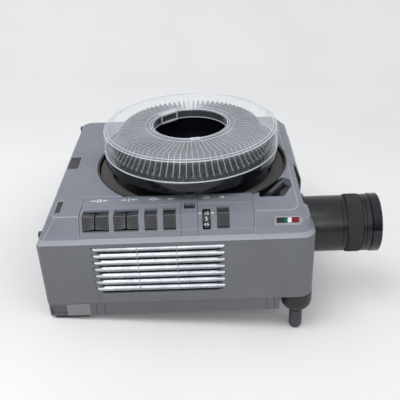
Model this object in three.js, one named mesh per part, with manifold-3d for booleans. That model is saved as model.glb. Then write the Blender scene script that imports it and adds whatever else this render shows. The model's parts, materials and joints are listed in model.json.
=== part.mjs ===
// Rotary-tray slide projector: a level chassis group, pitched nose-up on its extended front feet.
// Millimetres, +Z up. Inside the chassis +X points out of the lens, -Y is the operator's side,
// the origin is under the middle of the housing and z = 0 is the underside of the base plate.
import * as THREE from 'three';
import { ConvexGeometry } from 'three/addons/geometries/ConvexGeometry.js';
import { mergeVertices } from 'three/addons/utils/BufferGeometryUtils.js';
import Module from 'manifold-3d';

const wasm = await Module();
wasm.setup();

// ---------- driving dimensions ----------

const GAP = 0.3;
const WALL = 2.8;
const BODY = { length: 322, width: 296, frontCorner: 18, rearCorner: 4, draft: 0.4 };
const FRONT = BODY.length / 2;
const NEAR = -BODY.width / 2;
const LEVEL = { wall: 16, rim: 100, lip: 106, shoulder: 120.5, top: 132 };
const INSET = { lip: 3.4, side: 11.3, frontShoulder: 7, rearShoulder: 10.7, rear: 16.5, front: 20.5 };

const TRAY = {
  x: 18, y: 0, slots: 80, wellRadius: 123.2, lidRadius: 111.2, lidTop: 184, lidRim: 155.7, rest: 131.5,
};
const AXIS = { y: -72, z: 72 };
const LENS = { radius: 34.8, mouth: 149, barrelEnd: 201, gripEnd: 223.5, rimStart: 234.5, front: 246.4 };
const RECESS = { y0: -109, y1: -5, floor: 30 };

const PANEL = { rear: -93, x0: -109.8, x1: 90.4, strip: 131.1, sunk: 130.4, stepY: -113.5 };
const GRILLE = { x0: -99, x1: 55.5, z0: 30.5, blades: 7, pitch: 9.35 };

const BASE = { bottom: -2.5, floor: 3, inset: 1.5, lipInset: 4.2 };
const FOOT = { x: 142, y: 129, radius: 8, housingRadius: 18.7, bowl: -8.5, tip: -42, tipRadius: 4.4 };
const REAR_FOOT = { x0: -153, x1: -112, y0: 118, y1: 146.2, bottom: -6, edge: 1.2 };
const CONTACT = { rear: REAR_FOOT.x0 + REAR_FOOT.edge, front: FOOT.x - FOOT.tipRadius };
const PITCH = Math.atan2(REAR_FOOT.bottom - FOOT.tip, CONTACT.front - CONTACT.rear);

// ---------- finishes ----------

const finish = (color, roughness, metalness = 0) =>
  new THREE.MeshStandardMaterial({ color, roughness, metalness });

const greyTop = finish(0x8a8f98, 0.55);
const greyWall = finish(0x66686c, 0.6);
const greyBase = finish(0x606064, 0.6);
const darkPlastic = finish(0x3a3a3d, 0.55);
const blackPlastic = finish(0x151517, 0.45);
const keyPlastic = finish(0x4a4c50, 0.5);
const rubber = finish(0x222224, 0.9);
const silver = finish(0xd4d6d8, 0.35, 0.6);
const steel = finish(0xb0b2b4, 0.4, 0.9);
const copper = finish(0xb06a3c, 0.4, 0.8);
const green = finish(0x1f3a30, 0.3);
const board = finish(0x23553a, 0.6);
const numberPaint = finish(0x5c5650, 0.6);

function clear(color, opacity, roughness = 0.08) {
  return new THREE.MeshStandardMaterial({ color, roughness, metalness: 0, transparent: true, opacity });
}

const clearPlastic = clear(0xe6ebf2, 0.35);
const glass = clear(0xcfe0e6, 0.4, 0.03);

// ---------- solids ----------

function solid(geometry) {
  const bare = geometry.clone();
  bare.deleteAttribute('normal');
  bare.deleteAttribute('uv');
  const merged = mergeVertices(bare, 1e-4);
  const index = merged.index.array;
  const triangles = [];
  for (let i = 0; i < index.length; i += 3) {
    const [a, b, c] = index.slice(i, i + 3);
    if (a !== b && b !== c && c !== a) triangles.push(a, b, c);
  }
  return new wasm.Manifold(new wasm.Mesh({
    numProp: 3,
    vertProperties: new Float32Array(merged.attributes.position.array),
    triVerts: new Uint32Array(triangles),
  }));
}

function geometryOf(manifold) {
  const mesh = manifold.getMesh();
  const geometry = new THREE.BufferGeometry();
  geometry.setAttribute('position', new THREE.BufferAttribute(new Float32Array(mesh.vertProperties), 3));
  geometry.setIndex(new THREE.BufferAttribute(new Uint32Array(mesh.triVerts), 1));
  geometry.computeVertexNormals();
  return geometry;
}

const cut = (body, ...tools) =>
  geometryOf(tools.reduce((whole, tool) => whole.subtract(solid(tool)), solid(body)));
const join = (...pieces) => geometryOf(pieces.map(solid).reduce((whole, piece) => whole.add(piece)));
const common = (first, second) => geometryOf(solid(first).intersect(solid(second)));

const X = new THREE.Vector3(1, 0, 0);
const Y = new THREE.Vector3(0, 1, 0);
const Z = new THREE.Vector3(0, 0, 1);

function block([x0, x1], [y0, y1], [z0, z1]) {
  const box = new THREE.BoxGeometry(x1 - x0, y1 - y0, z1 - z0);
  return box.translate((x0 + x1) / 2, (y0 + y1) / 2, (z0 + z1) / 2);
}

function extrude(points, depth) {
  const shape = new THREE.Shape(points.map(([u, v]) => new THREE.Vector2(u, v)));
  return new THREE.ExtrudeGeometry(shape, { depth, bevelEnabled: false, curveSegments: 12 });
}

/** A (y, z) outline carried along X from x0 to x1. */
function alongX(points, x0, x1) {
  return extrude(points, x1 - x0).applyMatrix4(new THREE.Matrix4().makeBasis(Y, Z, X)).translate(x0, 0, 0);
}

/** An (x, y) outline carried along Z from z0 to z1. */
const alongZ = (points, z0, z1) => extrude(points, z1 - z0).translate(0, 0, z0);

/** A turned piece on the Z axis: the (radius, z) profile closes on itself or starts and ends on the axis. */
function turned(profile, segments = 40) {
  const points = profile.map(([r, z]) => new THREE.Vector2(r, z));
  if (points[0].x > 0) points.push(points[0].clone());
  const area = points.reduce((sum, p, i) => sum + p.cross(points[(i + 1) % points.length]), 0);
  if (area < 0) points.reverse();
  return new THREE.LatheGeometry(points, segments).rotateX(Math.PI / 2);
}

const disc = (radius, z0, z1, segments) => turned([[0, z0], [radius, z0], [radius, z1], [0, z1]], segments);
const ring = (inner, outer, z0, z1, segments) =>
  turned([[inner, z0], [outer, z0], [outer, z1], [inner, z1]], segments);

const ontoX = (geometry) => geometry.rotateY(Math.PI / 2);
const ontoY = (geometry) => geometry.rotateX(-Math.PI / 2);
const at = (geometry, x, y, z) => geometry.translate(x, y, z);

/** Corner points of a level rectangle: the front corners are rounded and the rear ones cut off. */
function outline(x0, x1, halfWidth, rearRadius, frontRadius, z) {
  const points = [];
  const corners = [
    [x1, 1, frontRadius, 0, 6], [x0, 1, rearRadius, 1, 1],
    [x0, -1, rearRadius, 2, 1], [x1, -1, frontRadius, 3, 6],
  ];
  for (const [x, side, radius, quarter, steps] of corners) {
    const centreX = x === x1 ? x - radius : x + radius;
    const centreY = side * (halfWidth - radius);
    for (let i = 0; i <= steps; i += 1) {
      const angle = (quarter + i / steps) * Math.PI / 2;
      points.push(new THREE.Vector3(
        centreX + radius * Math.cos(angle), centreY + radius * Math.sin(angle), z));
    }
  }
  return points;
}

/** The housing's outline at one height, drawn in by the given amounts at the rear, front and sides. */
function housing(z, rear, front, side, trim = 0) {
  const round = Math.max(BODY.frontCorner - Math.min(front, side) * 0.5 - trim, 1);
  const cutOff = Math.max(BODY.rearCorner + rear * 0.25 - trim, 1);
  return outline(-FRONT + rear + trim, FRONT - front - trim, -NEAR - side - trim, cutOff, round, z);
}

const hull = (...levels) => new ConvexGeometry(levels.flat());

// ---------- scene graph ----------

function node(parent, name, geometry, material, position = [0, 0, 0], rotation = [0, 0, 0]) {
  const mesh = new THREE.Mesh(geometryOf(solid(geometry)), material);
  mesh.name = name;
  mesh.position.set(...position);
  mesh.rotation.set(...rotation);
  parent.add(mesh);
  return mesh;
}

function group(parent, position = [0, 0, 0]) {
  const child = new THREE.Group();
  child.position.set(...position);
  parent.add(child);
  return child;
}

// ---------- housing ----------

function basePlate() {
  const { bottom, floor, inset, lipInset } = BASE;
  const top = LEVEL.wall - GAP;
  const pan = hull(
    housing(bottom, 0, 0, 0, inset + 1), housing(bottom + 1, 0, 0, 0, inset), housing(top, 0, 0, 0, inset));
  const lip = hull(housing(top - 2, 0, 0, 0, lipInset), housing(24, 0, 0, 0, lipInset));
  const inner = hull(housing(floor, 0, 0, 0, lipInset + WALL), housing(25, 0, 0, 0, lipInset + WALL));
  const intakes = [0, 1, 2, 3, 4].map((i) => block([-96 + i * 10, -91 + i * 10], [20, 80], [-4, 4]));
  const cutouts = [1, -1].flatMap((side) => [
    at(disc(FOOT.housingRadius + GAP, -4, 26, 32), FOOT.x, side * FOOT.y, 0),
    block([119.5, 165], [129, 150].map((y) => side * y).sort((a, b) => a - b), [-4, 26]),
    block([142, 165], [107, 150].map((y) => side * y).sort((a, b) => a - b), [-4, 26]),
    block([-157, -138], [144, 150].map((y) => side * y).sort((a, b) => a - b), [0.5, 12.5]),
  ]);
  const grooves = [-102, -92, 104, 113].map((x) => block([x, x + 0.8], [NEAR, NEAR + 2.4], [-4, top + 1]));
  return cut(join(pan, lip), inner, ...cutouts, ...intakes, ...grooves);
}

function lowerShell() {
  const { wall, rim } = LEVEL;
  const outer = hull(housing(wall, 0, 0, 0, BODY.draft), housing(rim - GAP / 2, 0, 0, 0));
  const inner = hull(housing(wall - 1, 0, 0, 0, BODY.draft + WALL), housing(rim + 1, 0, 0, 0, WALL));
  const grilleTop = GRILLE.z0 + GRILLE.blades * GRILLE.pitch;
  const grille = block(
    [GRILLE.x0 - GAP, GRILLE.x1 + GAP], [NEAR - 1, NEAR + 6], [GRILLE.z0 - GAP, grilleTop + GAP]);
  const recess = block([FRONT - 6, FRONT + 1], [RECESS.y0, RECESS.y1], [RECESS.floor, rim + 1]);
  const door = block([-FRONT - 1, -FRONT + 6], [-118, -26], [26, 98.5]);
  const sockets = block([-FRONT - 1, -FRONT + 6], [12, 128], [27, 89]);
  return cut(outer, inner, grille, recess, door, sockets, lensClearance());
}

function topCover() {
  const { rim, lip, shoulder, top } = LEVEL;
  const levels = (trim, sink) => [
    housing(lip - sink, INSET.lip, INSET.lip, INSET.lip, trim),
    housing(shoulder - sink, INSET.rearShoulder, INSET.frontShoulder, INSET.side * 0.6, trim),
    housing(top - sink, INSET.rear, INSET.front, INSET.side, trim),
  ];
  const rimBand = (trim, from) => hull(
    housing(from, 0, 0, 0, trim), housing(lip, INSET.lip, INSET.lip, INSET.lip, trim));
  const outer = join(rimBand(0, rim + GAP / 2), hull(...levels(0, 0)));
  const inner = join(rimBand(WALL, rim - 1), hull(...levels(WALL, WALL)));
  const leverBoss = common(hull(...levels(1, 1)), block([90, 141], [-110, -56], [118, 133]));
  const boss = cut(leverBoss, at(disc(TRAY.wellRadius + 2, 100, 140, 64), TRAY.x, TRAY.y, 0));
  const well = at(disc(TRAY.wellRadius, 90, 140, 64), TRAY.x, TRAY.y, 0);
  const panelSeat = block([PANEL.x0, PANEL.x1], [NEAR - 1, PANEL.rear + GAP], [lip, top + 1]);
  const recess = block([LENS.mouth, FRONT + 1], [RECESS.y0, RECESS.y1], [rim - 2, top + 1]);
  const rearSeat = block([-FRONT - 1, -130], [-15, 20], [rim + 4, top + 1]);
  return cut(join(cut(outer, inner), boss), well, panelSeat, recess, rearSeat, leverPocket(), windowSeat());
}

const LEVER = { x: 108, y: -96.2, length: 40, rest: 0.99 };

/** The hollow that the release lever swings in, with the hole for its pivot. */
function leverPocket() {
  const plan = [[98, -105], [127, -105], [138.6, -80], [138.6, -64], [130, -56], [98, -90]];
  const pivotHole = at(disc(2.7, 110, 123, 20), LEVER.x, LEVER.y, 0);
  return join(alongZ(plan, 122, LEVEL.top + 1), pivotHole);
}

const FACET_ANGLE = Math.atan2(LEVEL.top - LEVEL.lip, INSET.side - INSET.lip);

/** Moves a flat piece drawn in its own XY plane onto the near facet, outward along its normal. */
function ontoFacet(geometry, x, z) {
  const y = NEAR + INSET.side - (LEVEL.top - z) / Math.tan(FACET_ANGLE);
  return geometry.rotateX(FACET_ANGLE).translate(x, y, z);
}

function stadium(length, height, radius, z0, z1) {
  const shape = new THREE.Shape();
  const [u, v] = [length / 2, height / 2];
  shape.moveTo(-u, -v);
  shape.lineTo(u - radius, -v);
  shape.absarc(u - radius, -v + radius, radius, -Math.PI / 2, 0);
  shape.absarc(u - radius, v - radius, radius, 0, Math.PI / 2);
  shape.lineTo(-u, v);
  return new THREE.ExtrudeGeometry(shape, { depth: z1 - z0, bevelEnabled: false, curveSegments: 4 })
    .translate(0, 0, z0);
}

const WINDOW = { x: 128, z: 120.5, length: 31, height: 9.6 };

const windowSeat = () =>
  ontoFacet(stadium(WINDOW.length + 2 * GAP, WINDOW.height + 2 * GAP, 4.5, -8, 3), WINDOW.x, WINDOW.z);

function statusBezel() {
  const { length, height } = WINDOW;
  const frame = cut(stadium(length, height, 4.2, -2.4, 0.5), stadium(length - 2.6, height - 2.6, 3, -1.2, 2));
  return ontoFacet(frame, WINDOW.x, WINDOW.z);
}

const statusLens = () => ontoFacet(block([-13, 11.8], [-2.7, 2.7], [-0.9, 0.1]), WINDOW.x, WINDOW.z);

function ventGrille() {
  const { x0, x1, z0, blades, pitch } = GRILLE;
  const z1 = z0 + blades * pitch;
  const [front, back] = [NEAR + 1.2, NEAR + 6.4];
  const outside = block([x0, x1], [front, back], [z0, z1]);
  const frame = cut(outside, block([x0 + 3, x1 - 2.5], [front - 1, back + 1], [z0 + 1, z1 - 1]));
  const ribs = [-46, 0].map((x) => block([x - 1, x + 1], [back - 1.6, back - 0.2], [z0, z1]));
  const blade = (i) => {
    const foot = z0 + i * pitch;
    const profile = [
      [front - 0.4, foot + 0.8], [front - 0.4, foot + 2], [back - 1.2, foot + 5.8], [back - 0.4, foot + 4.6],
    ];
    return alongX(profile, x0 + 1, x1 - 1);
  };
  return join(frame, ...ribs, ...Array.from({ length: blades }, (_, i) => blade(i)));
}

// ---------- control panel ----------

const facetY = (z, depth = 0) => NEAR + INSET.side - (LEVEL.top - z) / Math.tan(FACET_ANGLE) + depth;

/** The (y, z) section of a panel insert: symbol strip, key field, facet and lower lip. */
function panelSection(rear, strip, field) {
  const lip = LEVEL.lip + GAP;
  const under = PANEL.sunk - WALL;
  const sunk = LEVEL.top - field;
  return [
    [rear, strip], [PANEL.stepY, strip], [PANEL.stepY - 0.4, field], [facetY(field, sunk * 0.6), field],
    [facetY(114, sunk * 0.6), 114], [facetY(113.2), 113.2], [facetY(lip), lip],
    [facetY(lip, WALL), lip], [facetY(112, WALL + 1), 112],
    [facetY(under, WALL + 1), under], [rear, under],
  ];
}

const KEYS = [
  ['reverse_key', -105.4, -91.9], ['forward_key', -91.3, -76.2],
  ['focus_back_key', -69.6, -56.2], ['focus_forward_key', -55.6, -42.3],
  ['timer_start_key', -34.4, -20.9], ['standby_key', -13.2, 0.3],
];
const KEY = { rear: -122, bottom: 115.4, crown: 0.7, sink: 2.6, depth: 6 };

function keyOpening(x0, x1) {
  const profile = [
    [KEY.rear + 0.6, LEVEL.top + 3], [NEAR - 2, LEVEL.top + 3],
    [NEAR - 2, KEY.bottom - 2.4], [facetY(KEY.bottom, 12), KEY.bottom - 2.4], [KEY.rear + 0.6, 108],
  ];
  return alongX(profile, x0 - 0.5, x1 + 0.5);
}

/** A dished key: sunk at its rear edge, proud at the crease and parallel to the facet below it. */
function key(x0, x1, tilt = 0) {
  const surface = PANEL.sunk;
  const crease = facetY(surface, 0.8);
  const profile = [
    [KEY.rear, surface - KEY.sink - tilt], [crease, surface + KEY.crown - tilt * 0.3],
    [facetY(KEY.bottom, 0.4), KEY.bottom], [facetY(KEY.bottom, KEY.depth), KEY.bottom - 0.6],
    [crease + 5, surface - KEY.depth - 2], [KEY.rear, surface - KEY.sink - 4 - tilt],
  ];
  return alongX(profile, x0, x1);
}

function keyPanel() {
  const body = alongX(panelSection(PANEL.rear, PANEL.strip, PANEL.sunk), PANEL.x0 + GAP, 6.4);
  return cut(body, keyOpening(-105.4, -76.2), keyOpening(-69.6, -42.3), keyOpening(-34.4, -20.9),
    keyOpening(-13.2, 0.3));
}

const INDEX_BLOCK = { x0: 6.8, x1: 25.4, shoulder: -95, apex: -87.6 };

function gateIndexBlock() {
  const { x0, x1, shoulder, apex } = INDEX_BLOCK;
  const plan = [[x0, NEAR - 1], [x1, NEAR - 1], [x1, shoulder], [(x0 + x1) / 2, apex], [x0, shoulder]];
  const body = common(alongX(panelSection(apex, PANEL.strip, PANEL.strip - 0.1), x0, x1), alongZ(plan, 100, 140));
  return cut(body, block([x0 + 3, x1 - 2.6], [-125, -112], [120, 140]));
}

const WHEEL = { x0: 31.6, x1: 39.6, y: -132.4, z: 119.8, radius: 9.6 };
const ROCKER = { x0: 48, x1: 61.2 };

function timerPanel() {
  const body = alongX(panelSection(PANEL.rear, PANEL.strip, PANEL.sunk), 25.8, PANEL.x1 - GAP);
  const wheelSlot = at(ontoX(disc(WHEEL.radius + 2.6, WHEEL.x0 - 0.5, WHEEL.x1 + 0.5, 32)), 0, WHEEL.y, WHEEL.z);
  return cut(body, wheelSlot, keyOpening(ROCKER.x0, ROCKER.x1));
}

function timerWheel() {
  const half = (WHEEL.x1 - WHEEL.x0) / 2;
  const rim = disc(WHEEL.radius, -half, half, 20);
  const hub = disc(2, -half - 4, half + 4, 12);
  return ontoX(join(rim, hub));
}

// ---------- slide tray ----------

function trayPlatform() {
  const floor = 110;
  const outer = TRAY.wellRadius - GAP;
  const cup = turned([
    [27, floor], [outer, floor], [outer, LEVEL.top - 0.6], [outer - 2.2, LEVEL.top - 0.6], [outer - 2.2, 119.4],
    [103, 119.4], [103, floor + 3], [27, floor + 3],
  ], 64);
  const underPanel = block([-140, 140], [-130, PANEL.rear + 1], [119, 140]);
  const slideSlot = block([-3.6, 3.6], [-130, -20], [100, 130]);
  return cut(cup, underPanel, slideSlot);
}

function toothed(pitchRadius, teeth, bore, z0, z1, phase) {
  const points = [];
  const step = 2 * Math.PI / teeth;
  for (let i = 0; i < teeth; i += 1) {
    const middle = phase + i * step;
    const flank = [[-0.29, -1.15], [-0.13, 0.9], [0.13, 0.9], [0.29, -1.15]];
    for (const [turn, height] of flank) {
      const angle = middle + turn * step;
      points.push([(pitchRadius + height) * Math.cos(angle), (pitchRadius + height) * Math.sin(angle)]);
    }
  }
  const wheel = alongZ(points, z0, z1);
  return bore ? cut(wheel, disc(bore, z0 - 1, z1 + 1, 16)) : wheel;
}

const GEAR = { module: 2, wheelTeeth: 39, pinionTeeth: 12 };
const gearRadius = (teeth) => GEAR.module * teeth / 2;

function turntable() {
  const gear = toothed(gearRadius(GEAR.wheelTeeth), GEAR.wheelTeeth, 0, 99.5, 106, Math.PI / 2);
  const spindle = turned([
    [0, 99.5], [20, 99.5], [20, 113.6], [27, 113.6], [27, TRAY.rest - GAP], [19.6, TRAY.rest - GAP],
    [19.6, TRAY.rest + 4], [14, TRAY.rest + 10], [0, TRAY.rest + 10],
  ], 32);
  return join(gear, spindle);
}

function indexPinion() {
  const phase = -Math.PI / 2 + Math.PI / GEAR.pinionTeeth;
  return toothed(gearRadius(GEAR.pinionTeeth), GEAR.pinionTeeth, 2.6, 99.5, 106, phase);
}

function indexMotor() {
  return join(disc(18, 58, 96, 32), disc(2.3, 95, 107, 16));
}

const SLIDES = { inner: 49, innerWall: 2.4, outer: 103.6, outerWall: 2, foot: 132.8, rimFoot: 138, crown: 181 };
const SKIRT = { inner: 108.6, outer: 110.8, foot: 144, top: TRAY.lidRim - GAP, thickness: 2.8 };

function trayBody() {
  const { inner, innerWall, outer, outerWall, foot, rimFoot, crown } = SLIDES;
  const core = turned([
    [20, TRAY.rest], [28.6, TRAY.rest], [28.6, foot], [inner + innerWall, foot], [inner + innerWall, crown],
    [inner, crown], [inner, 135.4], [20, 135.4],
  ], TRAY.slots / 2);
  const rim = turned([
    [outer - outerWall, rimFoot], [outer, rimFoot], [outer, SKIRT.top - SKIRT.thickness],
    [SKIRT.inner, SKIRT.top - SKIRT.thickness], [SKIRT.inner, SKIRT.foot], [SKIRT.outer, SKIRT.foot],
    [SKIRT.outer, SKIRT.top], [outer, SKIRT.top], [outer, 157.6], [outer - outerWall, 157.6],
  ], TRAY.slots / 2);
  const fins = Array.from({ length: TRAY.slots }, (_, i) => {
    const profile = [
      [inner + 1, foot + 0.3], [92, foot + 0.3], [outer - 1, rimFoot + 0.3], [outer - 1, 158],
      [86, crown], [inner + 1, crown],
    ];
    const fin = extrude(profile, 1.2).rotateX(Math.PI / 2).translate(0, 0.6, 0);
    return solid(fin.rotateZ((i + 0.5) * 2 * Math.PI / TRAY.slots));
  });
  return geometryOf(wasm.Manifold.union([solid(core), solid(rim), ...fins]));
}

function trayLid() {
  const { lidRadius: radius, lidTop: top, lidRim: rim } = TRAY;
  const wall = 1.8;
  return turned([
    [46.8, 172], [48.4, 172], [48.4, top - wall], [radius - 6, top - wall], [radius - wall - 1.4, top - wall - 1.6],
    [radius - wall, top - wall - 5], [radius - wall, rim], [radius, rim], [radius, top - 5],
    [radius - 1.6, top - 1.6], [radius - 5, top], [46.8, top],
  ], 48);
}

function trayLockRing() {
  const tabs = [0, Math.PI].map((angle) => block([28, 44], [-2.5, 2.5], [136, 147]).rotateZ(angle));
  return join(ring(24, 47, 135.7, 139, 32), ...tabs);
}

const trayBasePlate = () => cut(
  ring(29, 93, TRAY.rest, TRAY.rest + 1, 48), block([-3.2, 3.2], [-99, -49.5], [120, 140]));

// ---------- lens and gate ----------

function frontLensPanel() {
  const { shoulder, rim } = LEVEL;
  const shell = hull(
    housing(RECESS.floor, 0, 0, 0, GAP), housing(rim, 0, 0, 0, GAP),
    housing(shoulder - 2, INSET.rearShoulder, INSET.frontShoulder, 5, GAP));
  const tub = block([LENS.mouth - 4, FRONT], [RECESS.y0 + GAP, RECESS.y1 - GAP], [RECESS.floor + GAP, shoulder - 2]);
  const hollow = block([LENS.mouth, FRONT + 1], [RECESS.y0 + 2, RECESS.y1 - 2], [RECESS.floor + 2.4, shoulder]);
  const hole = at(ontoX(disc(38.6, 140, 155, 48)), 0, AXIS.y, AXIS.z);
  return cut(common(tub, shell), hollow, hole, lensClearance());
}

/** Room for the lens guide's collar, which reaches past the near wall of the recess. */
const lensClearance = () => at(ontoX(disc(39, LENS.mouth, FRONT + 2, 36)), 0, AXIS.y, AXIS.z);

const RACK = { from: 104, to: 132, pinion: 118, drop: 44, pitch: Math.PI, travel: 12 };

function lensGuide() {
  const tube = ontoX(turned([
    [35.3, 70], [37.8, 70], [37.8, LENS.mouth + GAP], [38.6, LENS.mouth + GAP], [38.6, 155], [35.3, 155],
  ], 28));
  const rackSlot = block([RACK.from - RACK.travel - 2, RACK.to + RACK.travel + 2], [-4, 4], [-40, -30]);
  return cut(tube, rackSlot);
}

/** A straight rack under the lens barrel, with a gap over the pinion's centre line. */
function focusRack() {
  const profile = [[RACK.to, -34], [RACK.from, -34], [RACK.from, -36.8]];
  const first = RACK.pinion + (0.5 - Math.floor((RACK.pinion - RACK.from) / RACK.pitch)) * RACK.pitch;
  for (let x = first; x < RACK.to - 1; x += RACK.pitch) {
    profile.push([x - 1, -36.8], [x - 0.35, -38.8], [x + 0.35, -38.8], [x + 1, -36.8]);
  }
  profile.push([RACK.to, -36.8]);
  return extrude(profile, 6).rotateX(Math.PI / 2).translate(0, 3, 0);
}

function lensBarrel() {
  const { radius, barrelEnd } = LENS;
  const tube = ontoX(turned([
    [28, 78], [radius, 78], [radius, barrelEnd], [radius - 1.6, barrelEnd], [radius - 1.6, barrelEnd + 3],
    [31.6, barrelEnd + 3], [31.6, 214], [28, 214],
  ], 28));
  return join(tube, focusRack());
}

function zoomRing() {
  const { barrelEnd, gripEnd } = LENS;
  const ribs = Array.from({ length: 24 }, (_, i) =>
    block([barrelEnd + 5, gripEnd - 2], [-1.6, 1.6], [35, 36.4]).rotateX(i * Math.PI / 12));
  const sleeve = ontoX(ring(32.2, 35.6, barrelEnd + 3.4, gripEnd, 28));
  return join(sleeve, ...ribs);
}

function lensFrontBarrel() {
  const { gripEnd, rimStart } = LENS;
  return ontoX(turned([
    [24, 216], [31.2, 216], [31.2, gripEnd + 0.5], [35.4, gripEnd + 0.5], [35.4, rimStart],
    [29.2, rimStart], [29.2, 229], [24, 229],
  ], 28));
}

const lensFrontRing = () => ontoX(turned([
  [29.4, LENS.rimStart + GAP], [36.4, LENS.rimStart + GAP], [36.4, LENS.front - 0.8], [35.6, LENS.front],
  [33, LENS.front], [29.4, LENS.front - 6],
], 28));

function dome(radius, edge, bulge, z) {
  const arc = Array.from({ length: 6 }, (_, i) => {
    const r = radius * (1 - i / 5);
    return [r, z + edge / 2 + bulge * (1 - (r / radius) ** 2)];
  });
  return ontoX(turned([[0, z - edge / 2], [radius, z - edge / 2], ...arc], 20));
}

/** The bracket that the heat filter and the condenser stand in. */
function opticsCradle() {
  const base = block([-74, -28], [AXIS.y - 32, AXIS.y + 32], [3.4, 56]);
  const hollow = block([-62, -48], [AXIS.y - 33, AXIS.y + 33], [10, 57]);
  const filterSlot = block([-70.3, -66.7], [AXIS.y - 25.3, AXIS.y + 25.3], [46.7, 60]);
  const lensSeat = at(ontoX(disc(26.4, -42.4, -28, 32)), 0, AXIS.y, AXIS.z);
  return cut(base, hollow, filterSlot, lensSeat);
}

function focusPinion() {
  return ontoY(join(toothed(6, 12, 0, -3, 3, 0), disc(2, -12, 3, 12)));
}

function gateFrame() {
  const frame = block([-5, 5], [AXIS.y - 30, AXIS.y + 30], [3.4, 108]);
  const armPath = block([-1.6, 1.6], [AXIS.y - 9.6, AXIS.y + 9.6], [6, 50]);
  const slidePath = block([-2.2, 2.2], [AXIS.y - 26.5, AXIS.y + 26.5], [46, 109]);
  const aperture = block([-6, 6], [AXIS.y - 18, AXIS.y + 18], [AXIS.z - 18, AXIS.z + 18]);
  return cut(frame, slidePath, armPath, aperture);
}

// ---------- lamp house, fan and electrics ----------

function lampModule() {
  const door = block([-FRONT + 0.4, -FRONT + 3.6], [-117.6, -26.4], [26.4, 98.1]);
  const grip = block([-FRONT - 1, -FRONT + 2], [-92, -52], [84, 94]);
  const sledge = block([-FRONT + 3.2, -78], [-106, -38], [28, 31]);
  const post = block([-131, -126], [-80, -64], [30, 46]);
  return join(cut(door, grip), sledge, post);
}

const lampReflector = () => ontoX(turned([
  [6, -146], [8, -146], [14, -139], [21, -131], [24.4, -119], [25.8, -119], [22.4, -132.4], [15.4, -141], [8.6, -148.4],
  [6, -148.4],
], 20));

const lamp = () => ontoX(turned([
  [0, -156], [5, -156], [5, -144], [6.4, -141], [6.4, -131], [4.2, -127], [0, -125.6],
], 20));

function fanHousing() {
  const casing = block([-98, -40], [18, 82], [3.4, 37]);
  const chamber = at(disc(27, 5.8, 34.6, 36), -68, 50, 0);
  const inlet = at(disc(20, 2, 7, 32), -68, 50, 0);
  const outlet = block([-92, -68], [10, 50], [8, 33]);
  return cut(casing, chamber, inlet, outlet);
}

function fanImpeller() {
  const blades = Array.from({ length: 12 }, (_, i) =>
    block([13, 24], [-0.7, 0.7], [9, 31]).rotateZ(i * Math.PI / 6));
  return join(disc(25, 30.6, 33, 20), disc(8, 8, 31, 12), ring(12.5, 25, 8, 10, 20), ...blades);
}

function transformer() {
  const core = block([64, 120], [44, 112], [3.4, 62]);
  const coil = block([56, 128], [54, 102], [13, 52]);
  return join(core, coil);
}

const circuitBoard = () => join(
  block([-120, 40], [136, 138], [30, 96]), block([-100, -70], [126, 137], [40, 62]),
  block([-40, -24], [128, 137], [50, 80]), block([0, 26], [130, 137], [36, 56]));

function rearPanel() {
  const plate = block([-FRONT + 0.4, -FRONT + 2.6], [12.4, 127.6], [27.4, 88.6]);
  const inlet = block([-FRONT - 1, -FRONT + 4], [86.7, 114.3], [34.7, 55.3]);
  const rocker = block([-FRONT - 1, -FRONT + 4], [56.7, 70.3], [34.7, 57.3]);
  const socket = at(ontoX(disc(9.3, -FRONT - 1, -FRONT + 4, 32)), 0, 32, 46);
  return cut(plate, inlet, rocker, socket);
}

function mainsInlet() {
  const body = block([-FRONT, -FRONT + 24], [87, 114], [35, 55]);
  const mouth = block([-FRONT - 1, -FRONT + 15], [89.4, 111.6], [37.4, 52.6]);
  const pins = [[-7, 46.6], [0, 43.2], [7, 46.6]].map(([dy, z]) =>
    block([-FRONT + 6, -FRONT + 16], [99.5 + dy, 101.5 + dy], [z - 2.5, z + 2.5]));
  return join(cut(body, mouth), ...pins);
}

const remoteSocket = () => cut(
  ontoX(disc(9, -FRONT, -FRONT + 14, 20)), ontoX(ring(3.4, 7.2, -FRONT - 1, -FRONT + 9, 20)));

const powerSwitch = () => alongX(
  [[-6.5, -9.8], [6.5, -9.8], [6.5, 9.8], [-6.5, 9.8]], -FRONT + 0.4, -FRONT + 9);

// ---------- feet and small trim ----------

const footHousing = () => turned([
  [FOOT.radius + 0.3, FOOT.bowl], [11.5, FOOT.bowl], [15.6, FOOT.bowl + 2], [18, FOOT.bowl + 6],
  [FOOT.housingRadius, FOOT.bowl + 11], [FOOT.housingRadius, LEVEL.wall - GAP], [12, LEVEL.wall - GAP],
  [12, 56], [FOOT.radius + 0.3, 56],
], 24);

const frontFoot = () => turned([
  [0, FOOT.tip], [FOOT.tipRadius, FOOT.tip], [6.8, FOOT.tip + 1.2], [FOOT.radius, FOOT.tip + 4],
  [FOOT.radius, -14.5], [FOOT.radius - 1, -14], [FOOT.radius - 1, -10.5], [FOOT.radius, -10],
  [FOOT.radius, 62], [0, 62],
], 20);

/** A rear corner pad: the housing stands on its back edge when the front feet are screwed out. */
function rearFoot(side) {
  const { x0, x1, y0, y1, bottom, edge } = REAR_FOOT;
  const corners = (z, inset) => [x0 + inset, x1 - inset].flatMap((x) =>
    [y0 + inset, y1 - inset].map((y) => new THREE.Vector3(x, side * y, z)));
  return hull(corners(bottom, edge), corners(bottom + edge, 0), corners(BASE.bottom - GAP, 0));
}

function releaseLever() {
  const { length } = LEVER;
  const arm = alongZ([[-5, -4], [length, -4], [length, 4], [-5, 4]], 0, 5.5);
  const grip = block([length - 7, length], [-4, 4], [5, 7.6]);
  return join(arm, grip, disc(2.4, -7, 1, 20));
}

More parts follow.
